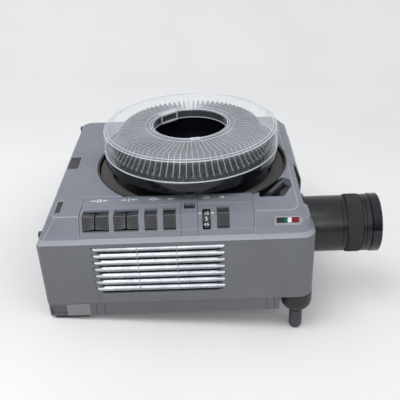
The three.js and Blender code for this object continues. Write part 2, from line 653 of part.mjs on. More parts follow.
function rearGripInsert() {
  const { rim, lip, shoulder, top } = LEVEL;
  const outer = hull(
    housing(rim + 4 + GAP, 2, 2, 2, 1.2), housing(lip, INSET.lip, INSET.lip, INSET.lip, 1.2),
    housing(shoulder, INSET.rearShoulder, INSET.frontShoulder, 6, 1.2),
    housing(top - 1.2, INSET.rear, INSET.front, INSET.side, 1.2));
  const inner = hull(
    housing(rim, 2, 2, 2, 4), housing(lip, INSET.lip, INSET.lip, INSET.lip, 4),
    housing(shoulder - 3, INSET.rearShoulder, INSET.frontShoulder, 6, 4),
    housing(top - 4.2, INSET.rear, INSET.front, INSET.side, 4));
  const slab = block([-FRONT - 1, -130 - GAP], [-15 + GAP, 20 - GAP], [rim + 4 + GAP, top]);
  return cut(common(outer, slab), inner);
}

// ---------- assembly ----------

function addHousing(chassis) {
  node(chassis, 'base_plate', basePlate(), greyBase);
  node(chassis, 'lower_shell', lowerShell(), greyWall);
  node(chassis, 'top_cover', topCover(), greyTop);
  node(chassis, 'vent_grille', ventGrille(), silver);
  node(chassis, 'front_lens_panel', frontLensPanel(), darkPlastic);
  node(chassis, 'rear_panel', rearPanel(), darkPlastic);
  node(chassis, 'rear_grip_insert', rearGripInsert(), darkPlastic);
  node(chassis, 'mains_inlet', mainsInlet(), blackPlastic);
  node(chassis, 'remote_socket', remoteSocket(), blackPlastic, [0, 32, 46]);
  node(chassis, 'power_switch', powerSwitch(), blackPlastic, [0, 63.5, 46]);
}

function addControls(chassis) {
  node(chassis, 'key_panel', keyPanel(), greyTop);
  node(chassis, 'gate_index_block', gateIndexBlock(), greyTop);
  node(chassis, 'timer_panel', timerPanel(), greyTop);
  for (const [name, x0, x1] of KEYS) {
    node(chassis, name, key(x0, x1, name === 'standby_key' ? 1.6 : 0), keyPlastic);
  }
  node(chassis, 'timer_wheel', timerWheel(), blackPlastic, [(WHEEL.x0 + WHEEL.x1) / 2, WHEEL.y, WHEEL.z]);
  node(chassis, 'lamp_rocker', key(ROCKER.x0, ROCKER.x1), keyPlastic);
  node(chassis, 'status_bezel', statusBezel(), silver);
  node(chassis, 'status_lens', statusLens(), green);
  node(chassis, 'release_lever', releaseLever(), darkPlastic, [LEVER.x, LEVER.y, 122.5], [0, 0, LEVER.rest]);
}

function addTray(chassis) {
  const centre = group(chassis, [TRAY.x, TRAY.y, 0]);
  node(centre, 'tray_platform', trayPlatform(), blackPlastic);
  node(centre, 'tray_turntable', turntable(), blackPlastic);
  node(centre, 'tray_base_plate', trayBasePlate(), steel);
  node(centre, 'tray_body', trayBody(), blackPlastic);
  node(centre, 'number_ring', ring(104, 119.4, 119.7, 126.6, 56), numberPaint);
  node(centre, 'tray_lock_ring', trayLockRing(), blackPlastic);
  node(centre, 'tray_lid', trayLid(), clearPlastic);
  const drive = group(centre, [0, gearRadius(GEAR.wheelTeeth) + gearRadius(GEAR.pinionTeeth), 0]);
  node(drive, 'index_motor', indexMotor(), steel);
  node(drive, 'index_pinion', indexPinion(), blackPlastic);
}

function addOptics(chassis) {
  const axis = group(chassis, [0, AXIS.y, AXIS.z]);
  node(axis, 'lens_guide', lensGuide(), blackPlastic);
  node(axis, 'lens_barrel', lensBarrel(), darkPlastic);
  node(axis, 'zoom_ring', zoomRing(), rubber);
  node(axis, 'lens_front_barrel', lensFrontBarrel(), darkPlastic);
  node(axis, 'lens_front_ring', lensFrontRing(), blackPlastic);
  node(axis, 'front_element', dome(28.7, 4, 4.6, 231.5), glass);
  node(axis, 'rear_element', dome(27.7, 4, 4, 84), glass);
  node(axis, 'lamp_reflector', lampReflector(), steel);
  node(axis, 'lamp', lamp(), glass);
  node(axis, 'heat_filter', block([-70, -67], [-25, 25], [-25, 25]), glass);
  node(axis, 'condenser_lens', dome(26, 4, 8, -40), glass);
  node(chassis, 'optics_cradle', opticsCradle(), steel);
  node(chassis, 'focus_pinion', focusPinion(), steel, [RACK.pinion, AXIS.y, AXIS.z - RACK.drop]);
  node(chassis, 'gate_frame', gateFrame(), steel, [TRAY.x, 0, 0]);
  node(chassis, 'slide_lift_arm', block([-1, 1], [-9, 9], [8, 45]), steel, [TRAY.x, AXIS.y, 0]);
  node(chassis, 'shutter', block([25.5, 26.7], [-23, 23], [-20, 20]), blackPlastic, [0, AXIS.y, AXIS.z]);
}

function addWorks(chassis) {
  node(chassis, 'lamp_module', lampModule(), darkPlastic);
  node(chassis, 'fan_housing', fanHousing(), darkPlastic);
  node(chassis, 'fan_impeller', fanImpeller(), blackPlastic, [-68, 50, 0]);
  node(chassis, 'transformer', transformer(), copper);
  node(chassis, 'circuit_board', circuitBoard(), board);
}

function addFeet(chassis) {
  for (const [side, y] of [['near', -1], ['far', 1]]) {
    node(chassis, `foot_housing_${side}`, footHousing(), darkPlastic, [FOOT.x, y * FOOT.y, 0]);
    node(chassis, `front_foot_${side}`, frontFoot(), rubber, [FOOT.x, y * FOOT.y, 0]);
    node(chassis, `rear_foot_${side}`, rearFoot(y), rubber);
  }
}

const projector = new THREE.Group();
const chassis = group(projector);
chassis.rotation.y = -PITCH;
addHousing(chassis);
addControls(chassis);
addTray(chassis);
addOptics(chassis);
addWorks(chassis);
addFeet(chassis);

// Stand the whole object on z = 0, with the origin under the middle of its bounding box.
projector.updateMatrixWorld(true);
const bounds = new THREE.Box3().setFromObject(projector, true);
const middle = bounds.getCenter(new THREE.Vector3());
chassis.position.set(-middle.x, -middle.y, -bounds.min.z);

export default projector;
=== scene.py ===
"""Looks of a rotary-tray slide projector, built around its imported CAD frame.

Pieces are drawn in chassis millimetres: +X out of the lens, -Y the operator's side, z = 0 the
underside of the base plate. TO_ROW carries them into the pitched row frame, in metres.
"""
import json
import math

import bmesh
import bpy
from mathutils import Matrix, Vector


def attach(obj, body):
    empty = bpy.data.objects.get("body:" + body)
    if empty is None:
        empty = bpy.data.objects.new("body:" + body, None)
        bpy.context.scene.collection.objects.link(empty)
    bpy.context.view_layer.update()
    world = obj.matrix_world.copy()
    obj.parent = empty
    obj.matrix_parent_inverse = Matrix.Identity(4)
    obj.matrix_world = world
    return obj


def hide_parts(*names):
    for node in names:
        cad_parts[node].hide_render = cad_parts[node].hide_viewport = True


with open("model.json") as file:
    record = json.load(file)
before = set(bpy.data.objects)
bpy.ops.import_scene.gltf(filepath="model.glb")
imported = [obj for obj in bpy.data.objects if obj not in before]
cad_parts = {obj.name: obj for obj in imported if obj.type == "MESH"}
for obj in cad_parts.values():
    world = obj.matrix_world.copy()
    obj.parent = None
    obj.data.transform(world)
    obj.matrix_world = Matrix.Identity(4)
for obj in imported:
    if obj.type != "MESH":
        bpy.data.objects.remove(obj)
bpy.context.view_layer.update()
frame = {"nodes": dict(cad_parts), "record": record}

JOINTS = {joint["name"]: joint for joint in frame["record"]["behaviour"]["joints"]}


# ---------- chassis frame ----------

TRAY_X = 18
LENS_Y = -72
LENS_Z = 72
ZOOM_PIVOT_X = 214


def chassis_to_row():
    """Chassis millimetres to row metres, from the axes of two joints and the place of a third."""
    up = Vector(JOINTS["tray_lift_off"]["axis"]).normalized()
    out = Vector(JOINTS["lens_focus"]["axis"]).normalized()
    turn = Matrix((out, up.cross(out), up)).transposed()
    pivot = Vector(JOINTS["zoom_ring_turn"]["pos_m"])
    drawn = Vector((ZOOM_PIVOT_X, LENS_Y, LENS_Z)) * 0.001
    place = pivot - turn @ drawn
    return Matrix.Translation(place) @ turn.to_4x4() @ Matrix.Scale(0.001, 4)


TO_ROW = chassis_to_row()
TO_CHASSIS = TO_ROW.inverted()


def local_box(node):
    """(low, high) corners of a CAD node in chassis millimetres."""
    points = [TO_CHASSIS @ vertex.co for vertex in frame["nodes"][node].data.vertices]
    low = Vector(min(p[i] for p in points) for i in range(3))
    high = Vector(max(p[i] for p in points) for i in range(3))
    return low, high


COVER = local_box("top_cover")
LID = local_box("tray_lid")
GRILLE = local_box("vent_grille")
FRONT = COVER[1].x
NEAR = COVER[0].y
SHELL_REAR = -FRONT
WALL = 2.8

# Heights: the cover's top face, the panel's sunk face that the keys stand in, and the cover's lip.
TOP = 132
KEY_FACE = 130.4
LIP_TOP = 106

TRAY_SLOTS = 80
SLOT_TURN = 2 * math.pi / TRAY_SLOTS
WELL_RADIUS = 123.2
PANEL = {"x0": -109.8, "x1": 90.4, "rear": -93}
RECESS = {"y0": -109, "y1": -5, "x": 149}
LAMP_DOOR = {"y": (-118, -26), "z": (26, 98.5)}
SOCKET_PANEL = {"y": (12, 128), "z": (27, 89)}
STATUS_WINDOW = {"x": 128, "z": 120.5}
TIMER_WHEEL = {"x": 35.6, "y": -132.4, "z": 119.8, "radius": 9.6}
LEVER = {"x": 108, "y": -96.2, "z": 122.5, "angle": 0.99}
POCKET_FLOOR = 122
FOOT = {"x": 142, "y": 129}


# ---------- materials ----------

class Nodes:
    """A material's node tree, with a Principled shader already wired to the output."""

    def __init__(self, name, roughness=0.5, metallic=0.0, **inputs):
        self.material = bpy.data.materials.new(name)
        self.material.use_nodes = True
        self.tree = self.material.node_tree
        self.shader = self.tree.nodes["Principled BSDF"]
        self.shader.inputs["Roughness"].default_value = roughness
        self.shader.inputs["Metallic"].default_value = metallic
        for key, value in inputs.items():
            self.shader.inputs[key.replace("_", " ")].default_value = value
        self.place = self.add("ShaderNodeTexCoord").outputs["Object"]

    def add(self, kind, **values):
        node = self.tree.nodes.new(kind)
        for key, value in values.items():
            if key in node.inputs:
                node.inputs[key].default_value = value
            else:
                setattr(node, key, value)
        return node

    def link(self, source, target):
        self.tree.links.new(source, target)

    def stretched(self, scale):
        mapping = self.add("ShaderNodeMapping")
        mapping.inputs["Scale"].default_value = scale
        self.link(self.place, mapping.inputs["Vector"])
        return mapping.outputs["Vector"]

    def noise(self, scale, detail=3.0, roughness=0.5, vector=None):
        node = self.add("ShaderNodeTexNoise", Scale=scale, Detail=detail, Roughness=roughness)
        self.link(vector or self.place, node.inputs["Vector"])
        return node.outputs["Fac"]

    def ramp(self, factor, *stops):
        node = self.add("ShaderNodeValToRGB")
        elements = node.color_ramp.elements
        while len(elements) < len(stops):
            elements.new(0.5)
        for element, (position, colour) in zip(elements, stops):
            element.position = position
            element.color = (*colour, 1) if len(colour) == 3 else colour
        self.link(factor, node.inputs["Fac"])
        return node.outputs["Color"]

    def spread(self, factor, low, high):
        node = self.add("ShaderNodeMapRange")
        node.inputs["From Min"].default_value = 0.3
        node.inputs["From Max"].default_value = 0.7
        node.inputs["To Min"].default_value = low
        node.inputs["To Max"].default_value = high
        self.link(factor, node.inputs["Value"])
        return node.outputs["Result"]

    def bump(self, height, strength, distance, below=None):
        node = self.add("ShaderNodeBump", Strength=strength, Distance=distance)
        self.link(height, node.inputs["Height"])
        if below is not None:
            self.link(below, node.inputs["Normal"])
        return node.outputs["Normal"]

    def set(self, socket, output):
        self.link(output, self.shader.inputs[socket])


def shade(colour, factor):
    return tuple(channel * factor for channel in colour)


def moulded(name, colour, roughness=0.5, grain=2600, grain_depth=0.00006, mottle=0.06):
    """Moulded or enamelled surface: a fine cast grain, slow colour drift and uneven gloss."""
    m = Nodes(name, roughness)
    drift = m.noise(14, 4)
    m.set("Base Color", m.ramp(drift, (0.3, shade(colour, 1 - mottle)), (0.7, shade(colour, 1 + mottle))))
    m.set("Roughness", m.spread(m.noise(45, 5, 0.6), roughness - 0.06, roughness + 0.08))
    coarse = m.bump(m.noise(grain * 0.3, 2), 0.25, grain_depth)
    m.set("Normal", m.bump(m.noise(grain, 2), 0.5, grain_depth, coarse))
    return m.material


def brushed(name, colour, roughness):
    """Rolled metal: fine lines along the strip, and cloudy tarnish over them."""
    m = Nodes(name, roughness, metallic=1.0)
    lines = m.noise(1500, 4, 0.6, m.stretched((1, 0.04, 1)))
    cloud = m.noise(28, 5, 0.65)
    m.set("Base Color", m.ramp(cloud, (0.35, shade(colour, 0.7)), (0.65, colour)))
    m.set("Roughness", m.spread(lines, roughness - 0.08, roughness + 0.12))
    m.set("Normal", m.bump(lines, 0.2, 0.00003))
    return m.material


def matt_rubber(name, colour):
    m = Nodes(name, 0.72)
    m.set("Base Color", m.ramp(m.noise(60, 4), (0.3, shade(colour, 0.8)), (0.7, shade(colour, 1.25))))
    m.set("Normal", m.bump(m.noise(3200, 3), 0.6, 0.00008))
    return m.material


def clear_plastic(name, top_reflection, side_reflection):
    """Clear styrene as a thin wall: bright at grazing edges and whitened on its level top, both a painted
    reflection of the bright sky.
    """
    m = Nodes(name, 0.07)
    m.set("Base Color", m.ramp(m.noise(30, 5), (0.3, (0.70, 0.73, 0.79)), (0.7, (0.82, 0.85, 0.90))))
    scratches = m.noise(420, 5, 0.7, m.stretched((1, 3.5, 1)))
    m.set("Normal", m.bump(scratches, 0.04, 0.00005))
    # Painted reflection: grazing edges and level faces get more of the opaque pale shader.
    facing = m.add("ShaderNodeLayerWeight", Blend=0.5).outputs["Facing"]
    edge = m.ramp(facing, (0.45, (0, 0, 0)), (0.8, (0.25, 0.25, 0.25)), (0.97, (0.95, 0.95, 0.95)))
    split = m.add("ShaderNodeSeparateXYZ")
    m.link(m.add("ShaderNodeNewGeometry").outputs["Normal"], split.inputs["Vector"])
    level = m.spread(split.outputs["Z"], side_reflection, top_reflection)
    painted_sheen = m.add("ShaderNodeMath", operation="MULTIPLY")
    m.link(level, painted_sheen.inputs[0])
    m.link(m.spread(m.noise(24, 3), 0.85, 1.15), painted_sheen.inputs[1])
    cover = m.add("ShaderNodeMath", operation="MAXIMUM")
    m.link(edge, cover.inputs[0])
    m.link(painted_sheen.outputs["Value"], cover.inputs[1])
    mix = m.add("ShaderNodeMixShader")
    m.link(cover.outputs["Value"], mix.inputs["Fac"])
    m.link(m.add("ShaderNodeBsdfTransparent").outputs["BSDF"], mix.inputs[1])
    m.link(m.shader.outputs["BSDF"], mix.inputs[2])
    m.link(mix.outputs["Shader"], m.tree.nodes["Material Output"].inputs["Surface"])
    return m.material


def coated_glass(name, tint):
    m = Nodes(name, 0.02, IOR=1.52, Coat_Weight=0.6, Coat_Roughness=0.02)
    cloud = m.noise(20, 3)
    m.set("Base Color", m.ramp(cloud, (0.3, shade(tint, 0.7)), (0.7, tint)))
    m.set("Roughness", m.spread(cloud, 0.02, 0.06))
    return m.material


def printed(name, colour):
    """Pad-printed ink: slightly uneven cover."""
    m = Nodes(name, 0.55)
    m.set("Base Color", m.ramp(m.noise(900, 4), (0.25, shade(colour, 0.72)), (0.6, colour)))
    m.set("Normal", m.bump(m.noise(2400, 2), 0.3, 0.00003))
    return m.material


COVER_GREY = moulded("cover_grey", (0.19, 0.206, 0.24), 0.42)
# Paler grey on the rounded edges of the cover and its panels: painted highlight along creases and edges.
COVER_EDGE_HIGHLIGHT = moulded("cover_edge_painted_highlight", (0.36, 0.38, 0.42), 0.3)
# Paler grey of the cover's lip band, and of the index mark: painted highlight on the lip.
LIP_HIGHLIGHT_AND_MARK_GREY = moulded("lip_highlight_and_mark_grey", (0.29, 0.305, 0.34), 0.36)
# The lower shell's walls: the cover's grey drawn darker, painted shade on the upright walls.
WALL_SHADED_GREY = moulded("wall_grey", (0.128, 0.133, 0.143), 0.5, grain=3400)
BASE_GREY = moulded("base_grey", (0.108, 0.111, 0.12), 0.55)
DARK = moulded("dark_plastic", (0.036, 0.038, 0.043), 0.5, grain=3000)
KEY_DARK = moulded("key_plastic", (0.033, 0.0335, 0.037), 0.4, grain=3600, mottle=0.1)
# Paler grey on the keys' rounded edges: painted highlight along their creases.
KEY_EDGE_HIGHLIGHT = moulded("key_edge_painted_highlight", (0.12, 0.122, 0.128), 0.35)
BLACK = moulded("black_plastic", (0.005, 0.005, 0.0065), 0.35, grain=2400, grain_depth=0.00003)
GLOSS_BLACK = moulded("gloss_black", (0.003, 0.0035, 0.007), 0.08, grain=900, grain_depth=0.00001)
BARREL_BLACK = moulded("barrel_black", (0.006, 0.0062, 0.0075), 0.3, grain=4200)
NUMBER_GREY = moulded("number_ring_grey", (0.088, 0.083, 0.082), 0.6)
BOWL_DARK = moulded("foot_bowl_dark", (0.008, 0.0082, 0.01), 0.45, grain=3000)
FOOT_GREY = moulded("foot_grey", (0.042, 0.043, 0.05), 0.5, grain=2800)
# Paler grey of the lever's thumb bar: painted highlight for the lever's lit top face.
LEVER_TOP_HIGHLIGHT_GREY = moulded("lever_top_painted_highlight", (0.055, 0.057, 0.062), 0.4, grain=2600)
POCKET_GREY = moulded("pocket_grey", (0.05, 0.052, 0.058), 0.55, grain=2800)
RUBBER = matt_rubber("black_rubber", (0.022, 0.022, 0.024))
ALUMINIUM = brushed("louvre_aluminium", (0.5, 0.51, 0.55), 0.3)
# The status window's bezel, paler than the cover's grey: painted highlight on its rim.
BEZEL_HIGHLIGHT_GREY = moulded("bezel_painted_highlight", (0.36, 0.38, 0.41), 0.35)
BLOCK_GREY = moulded("base_block_grey", (0.19, 0.195, 0.205), 0.5)
STEEL = brushed("sheet_steel", (0.45, 0.46, 0.47), 0.4)
CLEAR = clear_plastic("clear_styrene", 0.17, 0.04)
# The lid's rims and latches in a far more opaque white styrene: painted highlight.
CLEAR_EDGE_HIGHLIGHT = clear_plastic("clear_styrene_edge_highlight", 0.7, 0.5)
FIN = moulded("tray_fin_plastic", (0.03, 0.033, 0.042), 0.22, grain=2600, grain_depth=0.00003)
# Paler grey on the fins' upper edges and stops: painted highlight where the black fins catch the sky.
FIN_EDGE_HIGHLIGHT = moulded("tray_fin_edge_painted_highlight", (0.2, 0.21, 0.24), 0.25, grain=2600, grain_depth=0.00003)
WHITE_INK = printed("white_ink", (0.80, 0.82, 0.84))
DIM_INK = printed("grey_ink", (0.03, 0.028, 0.027))
GLASS = coated_glass("coated_lens_glass", (0.02, 0.018, 0.04))
COPPER = brushed("varnished_copper", (0.55, 0.27, 0.14), 0.45)
BOARD = moulded("board_green", (0.02, 0.09, 0.05), 0.4)
SMOKE_WINDOW = moulded("smoked_window", (0.03, 0.036, 0.036), 0.12, grain=800, grain_depth=0.00001)
GREEN_WINDOW = moulded("green_window", (0.01, 0.13, 0.085), 0.12, grain=800, grain_depth=0.00001)
RED_WINDOW = moulded("red_window", (0.20, 0.018, 0.03), 0.12, grain=800, grain_depth=0.00001)
WHITE_WINDOW = moulded("white_window", (0.75, 0.78, 0.77), 0.2, grain=800, grain_depth=0.00001)


# ---------- mesh tools ----------

def finish_piece(name, build, material, body, smooth=35, soft=0.0, segments=2, replaces=(), edge=None,
                 clamp=True):
    """Turns a bmesh in chassis millimetres into a shown piece that rides on a body."""
    bmesh.ops.remove_doubles(build, verts=build.verts, dist=0.002)
    bmesh.ops.recalc_face_normals(build, faces=build.faces)
    mesh = bpy.data.meshes.new(name)
    build.to_mesh(mesh)
    build.free()
    mesh.transform(TO_ROW)
    mesh.materials.append(material)
    obj = bpy.data.objects.new(name, mesh)
    bpy.context.scene.collection.objects.link(obj)
    smooth_shade(mesh, smooth)
    if soft:
        soften(obj, soft, segments, edge, clamp)
    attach(obj, body)
    if replaces:
        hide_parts(*replaces)
    return obj


def smooth_shade(mesh, angle):
    for polygon in mesh.polygons:
        polygon.use_smooth = True
    mesh.set_sharp_from_angle(angle=math.radians(angle))


def soften(obj, width, segments=2, edge=None, clamp=True, limit=28):
    """Rounds edges sharper than limit degrees by width metres; edge is a material for the rounded strip,
    used for a paler painted highlight.
    """
    bevel = obj.modifiers.new("rounded edges", "BEVEL")
    bevel.width = width
    bevel.segments = segments
    bevel.limit_method = "ANGLE"
    bevel.angle_limit = math.radians(limit)
    bevel.harden_normals = True
    bevel.use_clamp_overlap = clamp
    if edge:
        obj.data.materials.append(edge)
        bevel.material = len(obj.data.materials) - 1


def scratch(build):
    """A hidden helper object from a bmesh, for boolean work in millimetres."""
    mesh = bpy.data.meshes.new("scratch")
    build.to_mesh(mesh)
    build.free()
    obj = bpy.data.objects.new("scratch", mesh)
    bpy.context.scene.collection.objects.link(obj)
    return obj


def combine(body, tools, operation):
    """body cut by, or joined with, the tools: all bmeshes, and so is the result."""
    base = scratch(body)
    helpers = [scratch(tool) for tool in tools]
    for helper in helpers:
        modifier = base.modifiers.new("boolean", "BOOLEAN")
        modifier.operation = operation
        modifier.solver = "EXACT"
        modifier.object = helper
    graph = bpy.context.evaluated_depsgraph_get()
    result = bmesh.new()
    result.from_mesh(base.evaluated_get(graph).to_mesh())
    for helper in [base, *helpers]:
        bpy.data.objects.remove(helper)
    bmesh.ops.dissolve_limit(result, angle_limit=0.002, verts=result.verts, edges=result.edges)
    return result


def cut(body, *tools):
    return combine(body, tools, "DIFFERENCE")


def gather(*builds):
    """One bmesh holding several separate solids."""
    whole = bmesh.new()
    for build in builds:
        mesh = bpy.data.meshes.new("gathered")
        build.to_mesh(mesh)
        build.free()
        whole.from_mesh(mesh)
        bpy.data.meshes.remove(mesh)
    return whole


def loft(rings):
    """A solid skinned over level rings of equal point count, lowest first."""
    build = bmesh.new()
    loops = [[build.verts.new(point) for point in ring] for ring in rings]
    for low, high in zip(loops, loops[1:]):
        for i, vertex in enumerate(low):
            j = (i + 1) % len(low)
            build.faces.new((vertex, low[j], high[j], high[i]))
    build.faces.new(list(reversed(loops[0])))
    build.faces.new(loops[-1])
    return build


def lathe(profile, segments=128):
    """A solid turned on the Z axis. The (radius, z) profile closes on itself or ends on the axis."""
    build = bmesh.new()
    closed = profile[0][0] > 0
    columns = []
    for i in range(segments):
        angle = 2 * math.pi * i / segments
        columns.append([build.verts.new((r * math.cos(angle), r * math.sin(angle), z)) for r, z in profile])
    count = len(profile)
    for i, column in enumerate(columns):
        following = columns[(i + 1) % segments]
        for k in range(count if closed else count - 1):
            n = (k + 1) % count
            build.faces.new((column[k], following[k], following[n], column[n]))
    bmesh.ops.remove_doubles(build, verts=build.verts, dist=0.0005)
    bmesh.ops.recalc_face_normals(build, faces=build.faces)
    return build


def block(x, y, z):
    """A box between three (low, high) pairs."""
    return prism([(x[0], y[0]), (x[1], y[0]), (x[1], y[1]), (x[0], y[1])], *z)


def prism(outline, z0, z1):
    return loft([[(x, y, z) for x, y in outline] for z in (z0, z1)])


def along_x(outline, x0, x1):
    """A (y, z) outline carried from x0 to x1."""
    build = prism(outline, x0, x1)
    build.transform(Matrix(((0, 0, 1, 0), (1, 0, 0, 0), (0, 1, 0, 0), (0, 0, 0, 1))))
    return build


def moved(build, x=0.0, y=0.0, z=0.0):
    build.transform(Matrix.Translation((x, y, z)))
    return build


def turned(build, angle, axis):
    build.transform(Matrix.Rotation(angle, 4, axis))
    return build


def on_lens_axis(build):
    """A piece turned on Z laid on the lens axis, its +Z along +X."""
    return moved(turned(build, math.pi / 2, "Y"), 0, LENS_Y, LENS_Z)


def on_tray_axis(build):
    return moved(build, TRAY_X)


def arc(cx, cy, radius, start, end, steps):
    """Points of an arc, angles in degrees."""
    points = []
    for i in range(steps + 1):
        angle = math.radians(start + (end - start) * i / steps)
        points.append((cx + radius * math.cos(angle), cy + radius * math.sin(angle)))
    return points


# ---------- housing ----------

# How far the cover is drawn in at the top of its lip, at its shoulder and at its top face.
LIP = {"rear": 3.4, "front": 3.4, "side": 3.4}
SHOULDER = {"rear": 10.7, "front": 7, "side": 6.78}
CROWN = {"rear": 16.5, "front": 20.5, "side": 11.3}


def ring(z, rear=0.0, front=0.0, side=0.0, trim=0.0):
    """The housing's outline at height z, drawn in at the rear, front and sides."""
    half = -NEAR - side - trim
    x0 = SHELL_REAR + rear + trim
    x1 = FRONT - front - trim
    front_corner = max(18 - min(front, side) * 0.5 - trim, 1)
    rear_corner = max(4 + rear * 0.25 - trim, 1)
    points = []
    points += arc(x1 - front_corner, half - front_corner, front_corner, 0, 90, 14)
    points += arc(x0 + rear_corner, half - rear_corner, rear_corner, 90, 180, 1)
    points += arc(x0 + rear_corner, rear_corner - half, rear_corner, 180, 270, 1)
    points += arc(x1 - front_corner, front_corner - half, front_corner, 270, 360, 14)
    return [(x, y, z) for x, y in points]


def well_cutter():
    return on_tray_axis(lathe([(0, 90), (WELL_RADIUS, 90), (WELL_RADIUS, 140), (0, 140)], 160))


LOUVRES = 7
SEAM_X = -96


def louvre_outline(index, grow=0.0):
    """The (x, z) outline of one louvre's opening: long at the top, swept in at both ends."""
    low, high = GRILLE
    pitch = (high.z - low.z) / LOUVRES
    foot = low.z + index * pitch
    left, right = low.x - grow, high.x + grow
    outline = [(left, foot + pitch - 0.5), (left + 0.6, foot + pitch - 1.5)]
    outline += [(left + 3.4, foot + pitch - 4.4), (left + 7.2, foot + 1.6), (left + 10.4, foot - grow)]
    outline += [(right - 11, foot - grow), (right - 6.2, foot + 1), (right - 2.6, foot + 3.2)]
    outline += [(right - 0.5, foot + 6), (right, foot + pitch - 0.5)]
    outline += [(right, foot + pitch), (left, foot + pitch)]
    return outline


def along_y(outline, y0, y1):
    """An (x, z) outline carried from y0 to y1."""
    build = prism(outline, y0, y1)
    build.transform(Matrix(((1, 0, 0, 0), (0, 0, 1, 0), (0, 1, 0, 0), (0, 0, 0, 1))))
    bmesh.ops.recalc_face_normals(build, faces=build.faces)
    return build


def build_lower_shell():
    outer = loft([ring(16, trim=0.8), ring(99.85)])
    inner = loft([ring(15, trim=0.8 + WALL), ring(101, trim=WALL)])
    tools = [
        inner,
        block((FRONT - 8, FRONT + 2), (RECESS["y0"], RECESS["y1"]), (30, 104)),
        block((SHELL_REAR - 2, SHELL_REAR + 8), LAMP_DOOR["y"], LAMP_DOOR["z"]),
        block((SHELL_REAR - 2, SHELL_REAR + 8), SOCKET_PANEL["y"], SOCKET_PANEL["z"]),
        block((SEAM_X, SEAM_X + 0.5), (NEAR - 1, NEAR + 1.2), (10, GRILLE[0].z + 3)),
        on_lens_axis(lathe([(0, RECESS["x"]), (39, RECESS["x"]), (39, 170), (0, 170)], 64)),
    ]
    slots = [along_y(louvre_outline(i, 0.25), NEAR - 2, NEAR + 7) for i in range(LOUVRES)]
    return cut(outer, *tools, *slots)


def build_top_cover():
    def levels(trim, sink):
        return [
            ring(LIP_TOP - sink, **LIP, trim=trim),
            ring(120.5 - sink, **SHOULDER, trim=trim),
            ring(TOP - sink, **CROWN, trim=trim),
        ]

    outer = loft([ring(100.15), *levels(0, 0)])
    inner = loft([ring(99, trim=WALL), ring(101, trim=WALL), *levels(WALL, WALL)])
    shell = cut(outer, inner)
    # the solid corner that the lever's pocket is cut into
    boss = cut(
        block((90, 141), (-110, -56), (118, 131)),
        on_tray_axis(lathe([(0, 90), (125.2, 90), (125.2, 140), (0, 140)], 128)),
    )
    whole = combine(shell, [boss], "UNION")
    pocket = [(98, -105), (127, -105), (138.6, -80), (138.6, -64), (130, -56), (98, -90)]
    label = block((-139.5, -132.5), (-127, -99), (TOP - 0.9, TOP + 1))
    return cut(
        whole,
        well_cutter(),
        block((PANEL["x0"], PANEL["x1"]), (NEAR - 2, PANEL["rear"] + 0.3), (LIP_TOP, TOP + 1)),
        block((RECESS["x"], FRONT + 2), (RECESS["y0"], RECESS["y1"]), (98, TOP + 1)),
        block((SHELL_REAR - 2, -130), (-15, 20), (104, TOP + 1)),
        prism(pocket, POCKET_FLOOR, TOP + 2),
        on_facet(stadium(31.6, 10.2, 4.5, -8, 3), **STATUS_WINDOW),
        label,
    )


FACET_TILT = math.atan2(TOP - LIP_TOP, CROWN["side"] - LIP["side"])


def facet_y(z):
    """The y at height z on the straight line from the near lip up to the top face."""
    return NEAR + CROWN["side"] - (TOP - z) / math.tan(FACET_TILT)


def on_facet(build, x, z):
    """A flat piece drawn in its own XY plane, laid on the near facet."""
    return moved(turned(build, FACET_TILT, "X"), x, facet_y(z), z)


def stadium(length, height, radius, z0, z1):
    """A rectangle with a square left side and a rounded right side, as a slab."""
    u, v = length / 2, height / 2
    points = [(-u, v), (-u, -v)]
    points += arc(u - radius, -v + radius, radius, -90, 0, 8)
    points += arc(u - radius, v - radius, radius, 0, 90, 8)
    return prism(points, z0, z1)


def build_grille():
    """Curved louvres: each leans out to a rounded lower edge over a dark gap."""
    low, high = GRILLE
    pitch = (high.z - low.z) / LOUVRES
    front = [(6.4, 9.3), (4.2, 8.9), (2.5, 7.8), (1.4, 6.2), (0.8, 4.9), (0.5, 3.8), (0.9, 3.2)]
    back = [(2.2, 3.7), (3.4, 6), (5.8, 8.6)]
    blades = []
    for i in range(LOUVRES):
        foot = low.z + i * pitch
        section = [(NEAR + depth, foot + height) for depth, height in front + back]
        blade = along_x(section, low.x - 1, high.x + 1)
        bmesh.ops.recalc_face_normals(blade, faces=blade.faces)
        opening = along_y(louvre_outline(i, -0.15), NEAR - 2, NEAR + 8)
        blades.append(combine(blade, [opening], "INTERSECT"))
    return gather(*blades)


def build_louvre_ribs():
    """Thin uprights that show as faint lines across the louvres."""
    depth = (NEAR + 0.62, NEAR + 4)
    height = (GRILLE[0].z + 3, GRILLE[1].z - 2)
    return gather(*[block((x - 0.25, x + 0.25), depth, height) for x in (-46, 0)])


def paint_lip_highlight(cover):
    """The lighter lip that runs round the foot of the cover: a painted highlight on its band."""
    cover.data.materials.append(LIP_HIGHLIGHT_AND_MARK_GREY)
    slot = len(cover.data.materials) - 1
    for polygon in cover.data.polygons:
        if (TO_CHASSIS @ polygon.center).z < LIP_TOP - 0.5:
            polygon.material_index = slot


def add_housing():
    finish_piece("lower_shell_skin", build_lower_shell(), WALL_SHADED_GREY, "chassis",
                 soft=0.0008, segments=3, replaces=["lower_shell"])
    cover = finish_piece("top_cover_skin", build_top_cover(), COVER_GREY, "chassis",
                         soft=0.0005, replaces=["top_cover"], edge=COVER_EDGE_HIGHLIGHT, clamp=False)
    paint_lip_highlight(cover)
    finish_piece("louvres", build_grille(), ALUMINIUM, "chassis",
                 soft=0.0003, segments=2, replaces=["vent_grille"])
    low, high = GRILLE
    # A black sheet behind the louvres: painted shade for the unlit inside seen through the gaps.
    back = block((low.x - 0.2, high.x + 0.2), (NEAR + 6.3, NEAR + 6.4), (low.z, high.z))
    finish_piece("louvre_shade_sheet", back, BLACK, "chassis")
    finish_piece("louvre_ribs", build_louvre_ribs(), STEEL, "chassis")


# ---------- tray ----------

